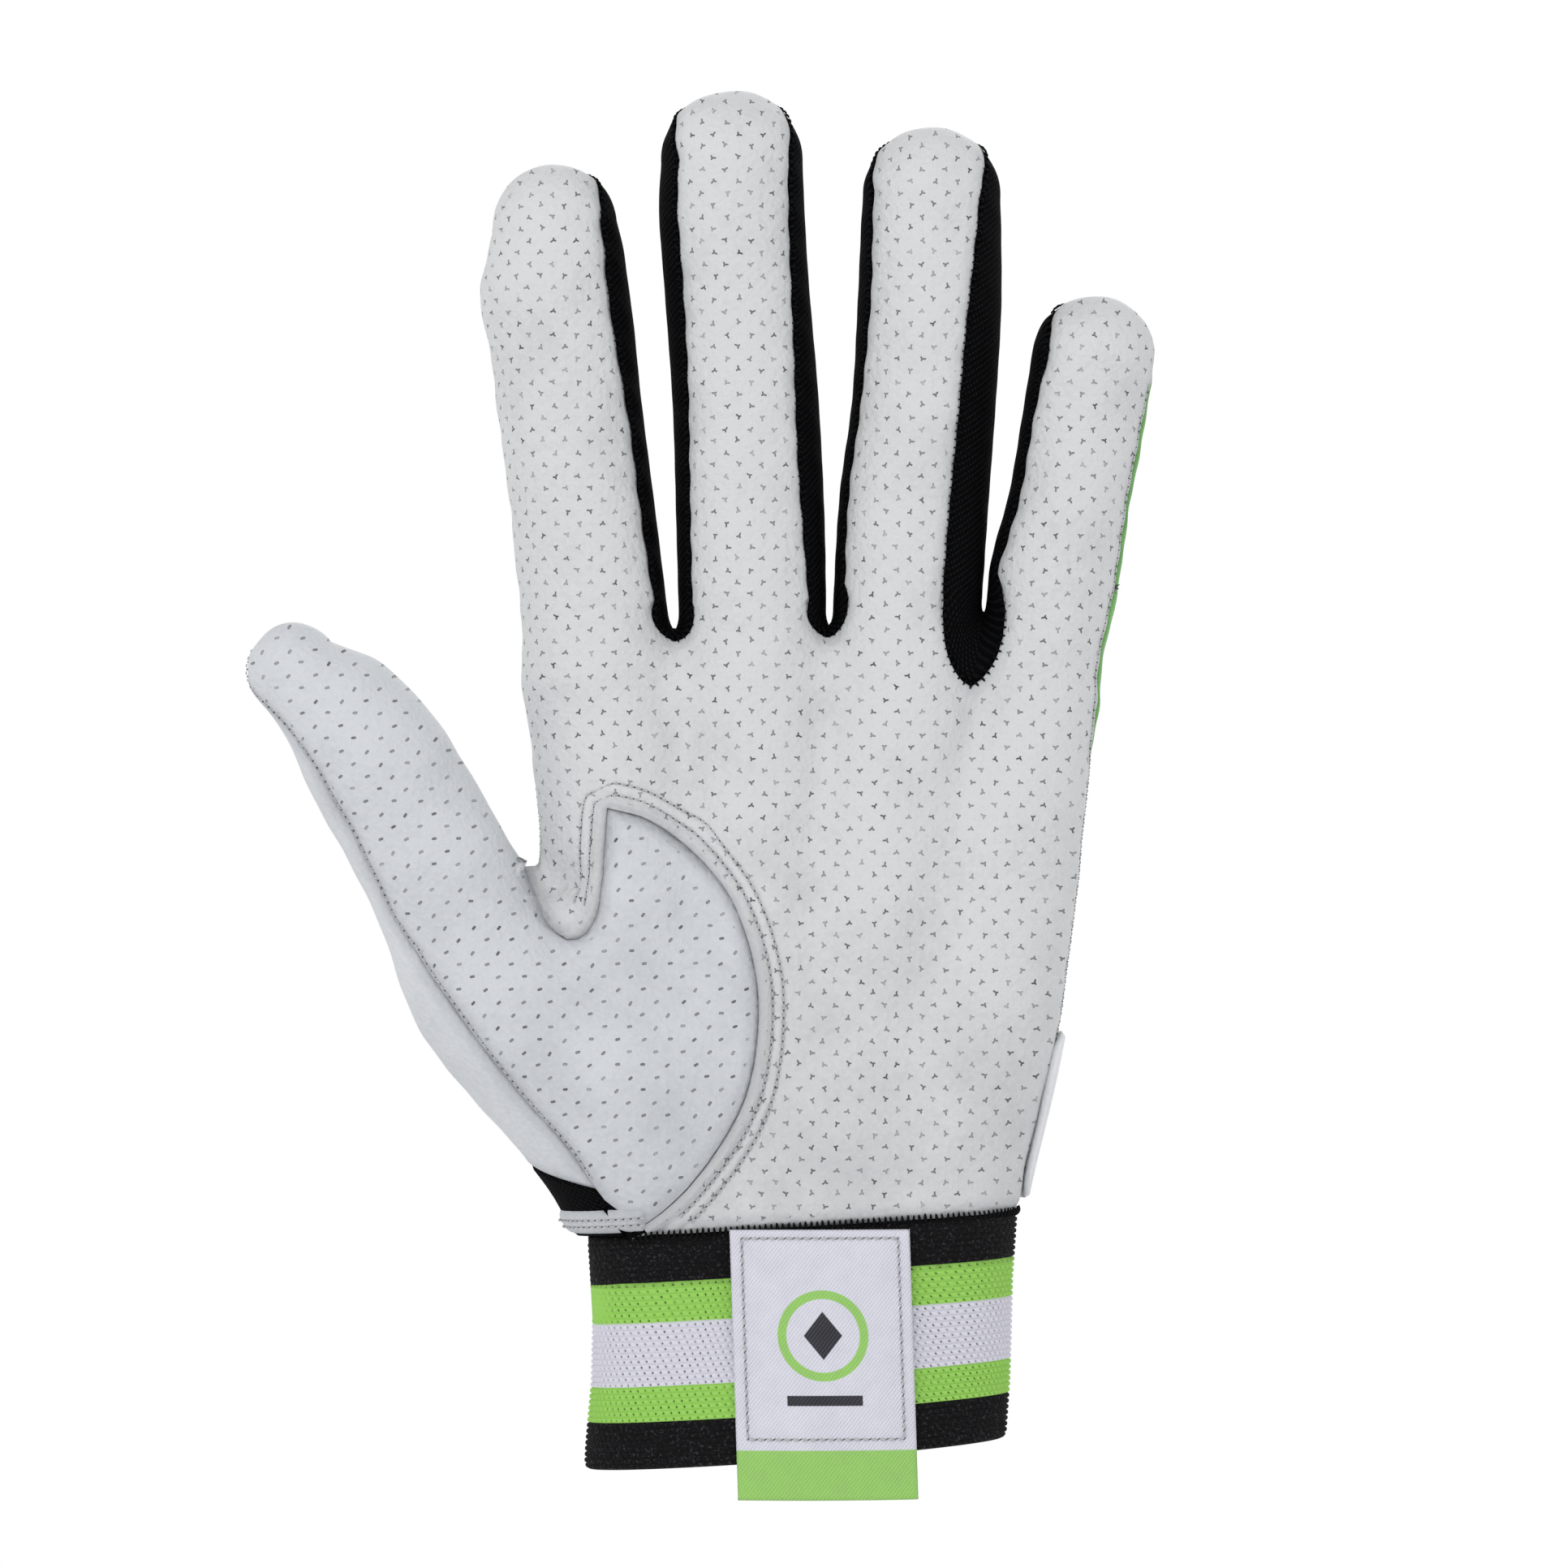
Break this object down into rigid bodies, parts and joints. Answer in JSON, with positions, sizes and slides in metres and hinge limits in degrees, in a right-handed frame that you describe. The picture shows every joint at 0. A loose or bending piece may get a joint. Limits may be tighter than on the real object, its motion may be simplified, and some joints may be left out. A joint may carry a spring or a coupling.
{
  "type": "batting glove",
  "caption": "Left-hand batting glove filled out as if worn: leather palm and thumb, ribbed finger sides, fabric back, closure strap and a striped knit cuff.",
  "frame": {"origin": "centre of the cuff's lower opening, where the hand goes in", "axes": "+Z from the cuff to the fingertips, the palm faces -Y, the thumb is towards -X"},
  "size_m": [0.1462, 0.0391, 0.2272],
  "materials": {
    "white_leather": "soft matt, fine grain, pricked with small holes",
    "thumb_leather": "soft matt, fine grain",
    "black_rib": "ribbed knit",
    "green_fabric": "smooth stretch fabric",
    "knit": "ribbed knit in black, green and white bands",
    "label": "woven satin with a green end"
  },
  "bodies": {
    "root": {"palm_leather": "white_leather", "thumb_front_leather": "thumb_leather", "thumb_back_leather": "white_leather", "fourchette_index_middle": "black_rib", "fourchette_middle_ring": "black_rib", "fourchette_ring_little": "black_rib", "back_panel": "green_fabric", "wrist_mesh": "black_rib", "wrist_strap": "white_leather", "wrist_binding": "white_leather", "cuff": "knit", "woven_label": "label"}
  },
  "joints": []
}
